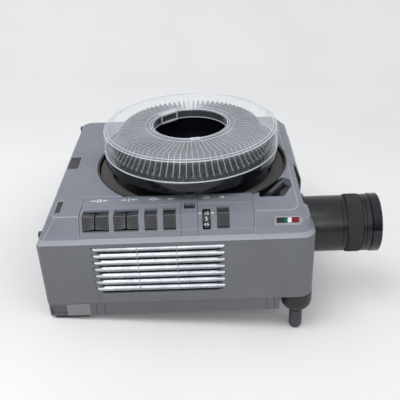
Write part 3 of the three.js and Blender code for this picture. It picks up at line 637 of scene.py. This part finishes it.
def build_lid():
    """The clear lid: flat top with two ring mouldings, rounded edge, skirt and inner lip."""
    radius = (LID[1].x - LID[0].x) / 2
    top, rim = LID[1].z, LID[0].z
    wall = 1.8
    profile = [(46.8, 172), (47.6, 171.6), (48.4, 172), (48.4, top - wall - 1.2), (50, top - wall)]
    profile += [(radius - 9, top - wall), (radius - 5, top - wall - 0.6)]
    profile += [(radius - wall - 0.8, top - wall - 3), (radius - wall, top - wall - 7)]
    profile += [(radius - wall, rim + 0.3), (radius - 0.9, rim), (radius, rim + 0.3)]
    profile += [(radius, rim + 1.8), (radius - 0.6, rim + 2.4), (radius - 0.6, top - 6)]
    profile += arc(radius - 4.6, top - 4.2, 4, 0, 70, 8)
    for ridge in (radius - 6.5, radius - 9.6):
        profile += [(ridge + 0.9, top - 0.6), (ridge + 0.4, top)]
        profile += [(ridge - 0.4, top), (ridge - 0.9, top - 0.6)]
    profile += [(57.2, top - 0.6), (56.6, top - 0.1), (55.8, top - 0.1), (55.2, top - 0.6)]
    profile += [(51, top - 0.6), (49.8, top), (47.8, top), (46.8, top - 0.8)]
    return on_tray_axis(lathe(profile, 192))


def bead(radius, z, size):
    """A round-backed ring moulding, size millimetres across."""
    return lathe(arc(radius, z, size / 2, 30, 330, 5), 192)


def build_lid_rims():
    """The thick mouldings of the lid, whose edges gather light, drawn whiter as a painted highlight."""
    radius = (LID[1].x - LID[0].x) / 2
    top, rim = LID[1].z, LID[0].z
    outer = [(radius - 0.75, rim + 0.75, 1.3), (radius - 2, top - 1.7, 1.1), (radius - 5.6, top - 0.55, 0.9)]
    inner = [(47.7, top - 0.6, 1.1), (50.6, top - 0.5, 0.8), (56.4, top - 0.5, 0.7), (47.6, 172.3, 1.1)]
    return on_tray_axis(gather(*[bead(*place) for place in outer + inner]))


def build_lid_latches():
    """A clear latch frame on each side of the lid's centre hole."""
    top = LID[1].z
    frames = []
    for angle, width in ((128, 26), (278, 11)):
        outer = block((47.6, 52.6), (-width / 2, width / 2), (top - 0.5, top - 0.05))
        inner = block((49, 51.4), (1.4 - width / 2, width / 2 - 1.4), (top - 2, top + 2))
        tongue = block((45.2, 46.6), (-width / 2, width / 2), (171, top - 0.4))
        opening = block((44, 48), (1.6 - width / 2, width / 2 - 1.6), (173, top - 2.4))
        frames += [turned(cut(outer, inner), math.radians(angle), "Z")]
        frames += [turned(cut(tongue, opening), math.radians(angle), "Z")]
    return on_tray_axis(gather(*frames))


def upright(outline, thickness):
    """A (radius, z) outline as a plate of this thickness, standing on the tray's radius."""
    return turned(prism(outline, -thickness / 2, thickness / 2), math.pi / 2, "X")


def build_tray():
    """Core and wall of the tray, its fins, and each fin's upper edge with the stop below it, drawn pale as a
    painted highlight.
    """
    core = lathe([
        (20, 131.5), (28.6, 131.5), (28.6, 132.8), (51.4, 132.8), (51.4, 180.4), (50.6, 181), (49, 181),
        (49, 135.4), (20, 135.4),
    ], 160)
    wall = lathe([
        (101.6, 138), (103.6, 138), (103.6, 152.6), (108.6, 152.6), (108.6, 144), (110.8, 144),
        (110.8, 155), (110.4, 155.4), (103.6, 155.4), (103.6, 157.2), (101.6, 157.2),
    ], 192)
    fin = [(50, 133.2), (92, 133.2), (102.4, 138.4), (102.4, 158.8), (100.4, 161), (87.4, 179.8)]
    fin += [(86, 180.4), (50, 180.4)]
    edge = [(102.4, 159.4), (101, 161.4), (88, 180.4), (86.8, 181), (50, 181)]
    edge += [(50, 180.5), (86.5, 180.5), (87.5, 180), (100.5, 161.1), (101.9, 159.1)]
    stop = [(-0.6, 162), (0.6, 162), (0.6, 160.4), (1.3, 160.4), (0, 157.6), (-1.3, 160.4), (-0.6, 160.4)]
    fins = []
    edges = []
    for i in range(TRAY_SLOTS):
        angle = (i + 0.5) * SLOT_TURN
        fins.append(turned(upright(fin, 1), angle, "Z"))
        edges.append(turned(upright(edge, 1.1), angle, "Z"))
        edges.append(turned(along_x(stop, 101.6, 103.4), angle, "Z"))
    return [on_tray_axis(gather(*parts)) for parts in ([core, wall], fins, edges)]


def build_number_ring():
    profile = [(104, 119.7), (119.4, 119.7), (119.4, 126.2), (119, 126.6), (104.4, 126.6), (104, 126.2)]
    return on_tray_axis(lathe(profile, 160))


def number_marks():
    """A tick for each slot, every fifth one longer, and a short mark between each two."""
    ticks = []
    for i in range(TRAY_SLOTS):
        length = 5.4 if i % 5 == 0 else 3
        tick = block((118.4 - length, 118.4), (-0.6, 0.6), (126.6, 126.66))
        ticks.append(turned(tick, (i + 0.5) * SLOT_TURN, "Z"))
        between = block((111.6, 113.4), (-1.1, 1.1), (126.6, 126.64))
        ticks.append(turned(between, i * SLOT_TURN, "Z"))
    return on_tray_axis(gather(*ticks))


def figure_mesh(text, size):
    """Figures as a thin solid about their own middle, in millimetres."""
    curve = bpy.data.curves.new("figure", "FONT")
    curve.body = text
    curve.size = size
    curve.align_x = "CENTER"
    curve.align_y = "CENTER"
    curve.extrude = 0.03
    helper = bpy.data.objects.new("figure", curve)
    bpy.context.scene.collection.objects.link(helper)
    graph = bpy.context.evaluated_depsgraph_get()
    build = bmesh.new()
    build.from_mesh(helper.evaluated_get(graph).to_mesh())
    bpy.data.objects.remove(helper)
    return build


def add_tray():
    finish_piece("tray_lid_clear", build_lid(), CLEAR, "lid", replaces=["tray_lid"])
    finish_piece("lid_rims", build_lid_rims(), CLEAR_EDGE_HIGHLIGHT, "lid", smooth=80)
    finish_piece("lid_latches", build_lid_latches(), CLEAR_EDGE_HIGHLIGHT, "lid")
    core, fins, edges = build_tray()
    finish_piece("tray_core", core, GLOSS_BLACK, "tray", replaces=["tray_body"])
    finish_piece("tray_fins", fins, FIN, "tray")
    finish_piece("tray_fin_edge_highlights", edges, FIN_EDGE_HIGHLIGHT, "tray")
    finish_piece("number_ring_disc", build_number_ring(), NUMBER_GREY, "number_ring",
                 replaces=["number_ring"])
    finish_piece("number_ring_ticks", number_marks(), DIM_INK, "number_ring")


# ---------- lens ----------

LENS = {"end": 203.6, "grip_end": 223.5, "rim": 234.5, "front": 246.4}


def build_grip():
    """The zoom ring: fine ribs all round between two plain bands."""
    ribs = 120
    start, stop = LENS["end"] + 2.4, LENS["grip_end"]
    bands = ((start, 0), (start + 1, 0), (start + 1.2, 1), (stop - 1.2, 1), (stop - 1, 0), (stop, 0))
    rings = []
    for x, ribbed in bands:
        loop = []
        for i in range(ribs * 4):
            radius = 36.2 if ribbed and i % 4 < 2 else 35.6
            angle = 2 * math.pi * i / (ribs * 4)
            loop.append((radius * math.cos(angle), radius * math.sin(angle), x))
        rings.append(loop)
    bore = lathe([(0, start - 2), (32.2, start - 2), (32.2, stop + 2), (0, stop + 2)], 96)
    return cut(loft(rings), bore)


def build_scale_marks():
    """Short printed marks round the lens barrel, in three groups."""
    marks = []
    for x, angles in ((187, (-112, -96, -82)), (192.5, (-108, -92, -86, -78)), (196, (-100, -89))):
        for angle in angles:
            mark = block((34.82, 34.9), (-0.9, 0.9), (x, x + 0.7))
            marks.append(turned(mark, math.radians(angle + 180), "Z"))
    return gather(*marks)


def add_lens():
    end, grip_end, rim, front = (LENS[key] for key in ("end", "grip_end", "rim", "front"))
    finish_piece("lens_tube", on_lens_axis(lathe([
        (28, 78.4), (34.4, 78.4), (34.8, 79), (34.8, end - 4.4), (34.4, end - 4), (34.4, end - 3.6),
        (34.8, end - 3.2), (34.8, end - 0.5), (34.3, end), (33.2, end), (33.2, end + 2), (31.6, end + 2),
        (31.6, 214), (28, 214),
    ], 120)), BARREL_BLACK, "lens", replaces=["lens_barrel"])
    finish_piece("zoom_grip", on_lens_axis(build_grip()), RUBBER, "zoom_ring", replaces=["zoom_ring"])
    finish_piece("lens_front_tube", on_lens_axis(lathe([
        (24, 216), (31.2, 216), (31.2, grip_end + 0.5), (35, grip_end + 0.5), (35.4, grip_end + 0.9),
        (35.4, grip_end + 4.4), (34.9, grip_end + 4.8), (35.4, grip_end + 5.2), (35.4, rim - 0.4),
        (35, rim), (29.2, rim), (29.2, 229), (24, 229),
    ], 120)), BARREL_BLACK, "lens_front", replaces=["lens_front_barrel"])
    finish_piece("lens_front_rim", on_lens_axis(lathe([
        (29.4, rim + 0.3), (35.9, rim + 0.3), (36.4, rim + 0.8), (36.4, front - 1), (35.6, front - 0.1),
        (33, front - 0.1), (32.4, front - 0.8), (31.4, front - 2.2), (30.6, front - 4.4), (29.4, front - 6),
    ], 120)), GLOSS_BLACK, "lens_front", replaces=["lens_front_ring"])
    finish_piece("lens_scale", on_lens_axis(build_scale_marks()), WHITE_INK, "lens")


# ---------- feet ----------

def add_feet():
    """The two front feet: a bowl fixed to the base, and the foot that screws out of it."""
    bowl = [(8.3, -8.5), (11.6, -8.5), (15.4, -6.6), (17.8, -2.8), (18.7, 2.6), (18.7, 15.7)]
    bowl += [(12, 15.7), (12, 56), (8.3, 56)]
    foot = [(0, -42), (4.4, -42), (6.4, -41.2), (7.6, -39.2), (8, -37), (8, -14.6), (7.2, -14.2)]
    foot += [(7.2, -10.4), (8, -10), (8, 62), (0, 62)]
    for side, y in (("near", -FOOT["y"]), ("far", FOOT["y"])):
        finish_piece(f"foot_bowl_{side}", moved(lathe(bowl, 96), FOOT["x"], y), BOWL_DARK, "chassis",
                     soft=0.0004, replaces=[f"foot_housing_{side}"])
        finish_piece(f"screw_foot_{side}", moved(lathe(foot, 64), FOOT["x"], y), FOOT_GREY,
                     f"front_foot_{side}", replaces=[f"front_foot_{side}"])


# ---------- carried-over CAD nodes ----------

# CAD nodes shown in their own shape: material, and width of the rounded edges in metres.
CAD_FINISH = {
    "base_plate": (BASE_GREY, 0.0008), "front_lens_panel": (DARK, 0.0006), "rear_panel": (DARK, 0.0004),
    "rear_grip_insert": (DARK, 0.0006), "mains_inlet": (BLACK, 0.0004), "remote_socket": (BLACK, 0.0003),
    "power_switch": (BLACK, 0.0005), "key_panel": (COVER_GREY, 0.0009),
    "gate_index_block": (COVER_GREY, 0.0009), "timer_panel": (COVER_GREY, 0.0009),
    "timer_wheel": (BLACK, 0.0004), "status_bezel": (BEZEL_HIGHLIGHT_GREY, 0.0004),
    "tray_platform": (BLACK, 0), "tray_turntable": (BLACK, 0.0003), "tray_base_plate": (STEEL, 0),
    "tray_lock_ring": (BLACK, 0.0003), "index_motor": (STEEL, 0.0004), "index_pinion": (BLACK, 0),
    "lens_guide": (BLACK, 0), "front_element": (GLASS, 0), "rear_element": (GLASS, 0),
    "lamp_reflector": (STEEL, 0), "lamp": (GLASS, 0), "heat_filter": (GLASS, 0.0003),
    "condenser_lens": (GLASS, 0), "optics_cradle": (STEEL, 0.0004), "focus_pinion": (STEEL, 0),
    "gate_frame": (STEEL, 0.0004), "slide_lift_arm": (STEEL, 0.0002), "shutter": (BLACK, 0.0002),
    "lamp_module": (DARK, 0.0006), "fan_housing": (DARK, 0.0006), "fan_impeller": (BLACK, 0),
    "transformer": (COPPER, 0.0008), "circuit_board": (BOARD, 0.0003),
    "rear_foot_near": (RUBBER, 0.0006), "rear_foot_far": (RUBBER, 0.0006),
}


def build_key(x0, x1, pinch, sunk=0.0):
    """A dished key: its faces dip by pinch = (left, middle, right), and sunk lowers its rear edge."""
    rear, middle, foot = -122, 122, 115.4
    crease = facet_y(KEY_FACE) + 0.8
    steps = 8
    build = bmesh.new()
    loops = []
    for i in range(steps + 1):
        t = i / steps
        low = pinch[0] * (1 - t) ** 2 + 2 * pinch[1] * t * (1 - t) + pinch[2] * t ** 2
        outline = [
            (rear - low * 0.5, KEY_FACE - 2.6 - sunk - low * 0.2), (crease + 5, KEY_FACE - 8),
            (facet_y(foot) + 6, foot - 0.6), (facet_y(foot) + 0.4, foot + low * 0.5),
            (facet_y(middle) + 0.3 + low * 0.6, middle),
            (crease + low * 0.6, KEY_FACE + 0.6 - sunk * 0.3 - low * 0.6),
        ]
        loops.append([build.verts.new((x0 + (x1 - x0) * t, y, z)) for y, z in outline])
    for left, right in zip(loops, loops[1:]):
        for k, vertex in enumerate(left):
            n = (k + 1) % len(left)
            build.faces.new((vertex, left[n], right[n], right[k]))
    build.faces.new(loops[0])
    build.faces.new(loops[-1])
    return build


# Each key: left x, right x, and how far it dips at its left, middle and right.
KEY_SHAPES = {
    "reverse_key": (-105, -92.4, (0, 1, 2.8)), "forward_key": (-90.8, -76.4, (2.8, 1, 0)),
    "focus_back_key": (-69.4, -56.7, (0, 1, 2.8)), "focus_forward_key": (-55, -42.4, (2.8, 1, 0)),
    "timer_start_key": (-34.4, -20.9, (0, 1.2, 0)), "standby_key": (-13.2, 0.3, (0, 0.8, 0)),
    "lamp_rocker": (48, 61.2, (0, 0.8, 0)),
}


def add_keys():
    for name, (x0, x1, pinch) in KEY_SHAPES.items():
        sunk = 1.6 if name == "standby_key" else 0
        finish_piece(f"{name}_cap", build_key(x0, x1, pinch, sunk), KEY_DARK, name,
                     smooth=25, soft=0.0005, segments=3, replaces=[name], edge=KEY_EDGE_HIGHLIGHT)


def dress_cad_nodes():
    for node, (material, soft) in CAD_FINISH.items():
        obj = frame["nodes"][node]
        obj.data.materials.clear()
        obj.data.materials.append(material)
        if soft:
            # Cover-grey panels get paler rounded edges: painted highlight along their creases.
            on_top = material == COVER_GREY
            soften(obj, soft, 3, COVER_EDGE_HIGHLIGHT if on_top else None, limit=12 if on_top else 28)


# ---------- symbols ----------

STRIP_TOP = 131.1
MARK_Y = -100.6


def flat(outline, x, y=MARK_Y, z=STRIP_TOP):
    """A printed shape: an outline about its own middle, laid on the symbol strip."""
    return moved(prism(outline, 0, 0.05), x, y, z)


def bar(x0, x1, y0, y1):
    return [(x0, y0), (x1, y0), (x1, y1), (x0, y1)]


def frame_mark(outline, thickness):
    """The outline as a closed printed line: its shape less a smaller copy of itself."""
    inner = prism([(x * (1 - thickness), y * (1 - thickness)) for x, y in outline], -1, 1)
    return cut(prism(outline, 0, 0.05), inner)


def add_symbols():
    """Plain white pictograms on the strip behind the keys."""
    marks = []
    for x, reach, gap in ((-90.4, 10.4, 3.9), (-55.3, 9.8, 2.4)):
        for side in (-1, 1):
            near, far = sorted((side * reach, side * (gap + 2.6)))
            marks.append(flat(bar(near, far, -0.65, 0.65), x))
            tip, tail = side * gap, side * (gap + 2.8)
            marks.append(flat([(tip, 0), (tail, 1.9), (tail, -1.9)][::side], x))
    marks.append(moved(frame_mark(bar(-2.7, 2.7, -2.9, 2.9), 0.42), -90.4, MARK_Y, STRIP_TOP))
    for y0, y1 in ((-3.8, -1.6), (-0.9, 0.9), (1.6, 3.8)):
        marks.append(flat(bar(-0.7, 0.7, y0, y1), -55.3))
    diamond = [(-5.4, 0), (0, -3.4), (4.2, 0), (0, 3.4)]
    marks.append(moved(frame_mark(diamond, 0.42), -26.9, MARK_Y, STRIP_TOP))
    marks.append(flat(bar(3.4, 7.2, -0.8, 0.8), -26.9))
    bowl = [(-4.2, 2.2), (-3.2, -1), (-1, -2), (1.6, -2), (3.8, -0.6), (4.2, 2.2), (1.4, 1), (-1.6, 1.2)]
    marks.append(flat(bowl, -6))
    clock = [(x * 1.15, y * 0.85) for x, y in arc(0, 0, 4, 0, 350, 24)]
    marks.append(moved(frame_mark(clock, 0.34), 35.6, MARK_Y, STRIP_TOP))
    marks.append(flat(bar(-0.4, 2.6, -0.55, 0.55), 35.6))
    marks.append(flat(bar(-0.6, 0.6, -0.2, 2.2), 35.6))
    marks.append(flat([(-2.8, 2.8), (-1, -2.6), (0.2, -2.2), (-1.2, 2.8)], 54))
    marks.append(flat([(0, 2.2), (0.8, -2.8), (3.2, -1.4), (2, 2.6)], 54))
    finish_piece("key_symbols", gather(*marks), WHITE_INK, "chassis")


def add_status_window():
    """The panes of the status window, left to right, set in the bezel on the near facet."""
    panes = (("dark", -13, -4.4, SMOKE_WINDOW), ("green", -4.3, -1, GREEN_WINDOW),
             ("white", -0.9, 3.6, WHITE_WINDOW), ("red", 3.7, 12, RED_WINDOW))
    for name, x0, x1, material in panes:
        pane = on_facet(block((x0, x1), (-2.9, 2.9), (-0.9, 0.1)), **STATUS_WINDOW)
        finish_piece(f"status_{name}", pane, material, "chassis", soft=0.0001,
                     replaces=["status_lens"] if name == "dark" else ())


def add_timer_figures():
    """Figures round the timer wheel, and an arrow on the panel at each side of its slot."""
    count = 9
    first_angle = 54
    figures = []
    for i in range(count):
        figure = moved(figure_mesh(str(5 + 5 * i), 6.2), 0, 0, TIMER_WHEEL["radius"])
        figure = turned(figure, math.radians(first_angle - 360 / count * i), "X")
        figures.append(moved(figure, TIMER_WHEEL["x"], TIMER_WHEEL["y"], TIMER_WHEEL["z"]))
    finish_piece("timer_figures", gather(*figures), WHITE_INK, "timer_wheel")
    crease = facet_y(KEY_FACE)
    arrows = []
    for side, x in ((1, 27.4), (-1, 43.8)):
        arrows.append(flat([(0, -1.6), (3.6 * side, 0), (0, 1.6)][::side], x, crease + 1.8, KEY_FACE))
    finish_piece("timer_arrows", gather(*arrows), WHITE_INK, "chassis")


def add_lever():
    """The release lever: a heavy root block and a raised thumb bar along the arm, drawn paler as a painted
    highlight for its lit top.
    """
    def posed(build):
        return moved(turned(build, LEVER["angle"], "Z"), LEVER["x"], LEVER["y"], LEVER["z"])

    root = cut(block((-5, 12), (-4, 4), (0, 6.4)), block((6, 20), (-2.4, 2.4), (4, 9)))
    arm = block((12.2, 40), (-4, 4), (0, 3.4))
    pin = lathe([(0, -7), (2.4, -7), (2.4, 0.2), (0, 0.2)], 32)
    finish_piece("lever_arm", posed(gather(root, arm, pin)), BLACK, "release_lever",
                 soft=0.0004, replaces=["release_lever"])
    thumb = [(6.4, -2.3), (37, -2.9), (39.6, -1.6), (39.6, 1.6), (37, 2.9), (6.4, 2.3)]
    finish_piece("lever_thumb_bar", posed(prism(thumb, 3.5, 7.6)), LEVER_TOP_HIGHLIGHT_GREY, "release_lever", soft=0.0006)


def add_trim():
    """Small fitted pieces: pocket lining, blank label, index mark and window, rear lugs, corner block."""
    end_plan = [(126.8, -104.8), (138.4, -80.1), (138.4, -64.1), (124, -71)]
    end_lining = prism(end_plan, POCKET_FLOOR + 0.02, POCKET_FLOOR + 0.4)
    finish_piece("lever_pocket_end", end_lining, POCKET_GREY, "chassis")
    floor_plan = [(99, -104.8), (126.6, -104.8), (123.8, -70.8), (138, -63.6), (130, -56.4), (99, -91)]
    well = on_tray_axis(lathe([(0, 90), (WELL_RADIUS + 0.4, 90), (WELL_RADIUS + 0.4, 140), (0, 140)], 128))
    lining = cut(prism(floor_plan, POCKET_FLOOR + 0.02, POCKET_FLOOR + 0.3), well)
    finish_piece("lever_pocket_floor", lining, BLACK, "chassis")
    label = block((-139.2, -132.8), (-126.7, -99.3), (TOP - 1.1, TOP - 0.75))
    finish_piece("blank_label", label, DARK, "chassis")
    triangle = flat([(-4.4, -2.2), (4.4, -2.2), (0, 2.4)], 15.8, -96.6)
    finish_piece("index_mark", triangle, LIP_HIGHLIGHT_AND_MARK_GREY, "chassis")
    for name, x, y, z in (("near", -158.4, -130, 105), ("far", -148.6, 133, 124)):
        lug = block((x - 1.8, x + 3), (y - 3.6, y + 3.6), (z - 3, z + 3.4))
        finish_piece(f"rear_lug_{name}", lug, DARK, "chassis", soft=0.0008)
    corner = block((-137.6, -109), (NEAR + 0.7, NEAR + 1.6), (-1.8, 15.2))
    finish_piece("base_corner_block", corner, BLOCK_GREY, "chassis", soft=0.0003)
    window = block((9.9, 22.7), (-124.6, -112.4), (120.2, 126.6))
    finish_piece("index_window", window, DARK, "chassis", soft=0.0004)


# ---------- camera, floor and light ----------

def add_camera():
    """A camera that stands where the photo's did: its place, its aim and its slight roll."""
    data = bpy.data.cameras.new("camera")
    data.lens = 58.4
    data.sensor_width = 36
    data.clip_end = 20
    camera = bpy.data.objects.new("camera", data)
    eye = Vector((-0.0534, -0.7653, 0.5323))
    azimuth, elevation, roll = math.radians(2.744), math.radians(29.554), math.radians(5.576)
    turn = Matrix.Rotation(-azimuth, 4, "Z") @ Matrix.Rotation(math.pi / 2 - elevation, 4, "X")
    camera.matrix_world = Matrix.Translation(eye) @ turn @ Matrix.Rotation(roll, 4, "Z")
    bpy.context.scene.collection.objects.link(camera)
    bpy.context.scene.camera = camera


def add_floor():
    """A pale sweep: level under the projector, curving up behind it."""
    build = bmesh.new()
    profile = [(-3.0, 0.0), (0.75, 0.0)]
    profile += [(0.75 + y, z + 0.6) for y, z in arc(0, 0, 0.6, -90, 0, 12)][1:]
    profile += [(1.35, 2.6)]
    left = [build.verts.new((-3.5, y, z)) for y, z in profile]
    right = [build.verts.new((3.5, y, z)) for y, z in profile]
    for i in range(len(profile) - 1):
        build.faces.new((left[i], right[i], right[i + 1], left[i + 1]))
    mesh = bpy.data.meshes.new("floor")
    build.to_mesh(mesh)
    build.free()
    smooth_shade(mesh, 60)
    m = Nodes("pale_paper", 0.9)
    m.set("Base Color", m.ramp(m.noise(3, 3), (0.3, (0.79, 0.785, 0.785)), (0.7, (0.84, 0.835, 0.835))))
    mesh.materials.append(m.material)
    floor = bpy.data.objects.new("floor", mesh)
    bpy.context.scene.collection.objects.link(floor)


def area_light(name, place, target, size, power):
    data = bpy.data.lights.new(name, "AREA")
    data.shape = "RECTANGLE"
    data.size, data.size_y = size
    data.energy = power
    lamp = bpy.data.objects.new(name, data)
    lamp.location = place
    aim = Vector(target) - Vector(place)
    lamp.rotation_euler = aim.to_track_quat("-Z", "Y").to_euler()
    bpy.context.scene.collection.objects.link(lamp)


def add_light():
    """A soft sky, brightest overhead and dim at the horizon, with three broad lights from the front."""
    world = bpy.data.worlds.new("studio")
    world.use_nodes = True
    tree = world.node_tree
    background = tree.nodes["Background"]
    split = tree.nodes.new("ShaderNodeSeparateXYZ")
    ramp = tree.nodes.new("ShaderNodeValToRGB")
    for element, (position, level) in zip(ramp.color_ramp.elements, ((0.05, 0.16), (0.75, 1.0))):
        element.position = position
        element.color = (level * 0.94, level * 0.97, level, 1)
    tree.links.new(tree.nodes.new("ShaderNodeTexCoord").outputs["Generated"], split.inputs["Vector"])
    tree.links.new(split.outputs["Z"], ramp.inputs["Fac"])
    tree.links.new(ramp.outputs["Color"], background.inputs["Color"])
    background.inputs["Strength"].default_value = 0.84
    bpy.context.scene.world = world
    bpy.context.scene.view_settings.view_transform = "Standard"
    area_light("key", (-0.9, -0.9, 2.0), (0, 0, 0.1), (1.0, 1.0), 20)
    area_light("front_fill", (-0.3, -2.5, 1.5), (0, 0, 0.1), (1.6, 1.0), 15)
    area_light("right_fill", (1.5, -1.2, 2.2), (0.4, -0.2, 0), (1.2, 1.0), 8)


add_housing()
add_tray()
add_lens()
add_feet()
add_keys()
add_lever()
dress_cad_nodes()
add_symbols()
add_status_window()
add_timer_figures()
add_trim()
add_camera()
add_floor()
add_light()
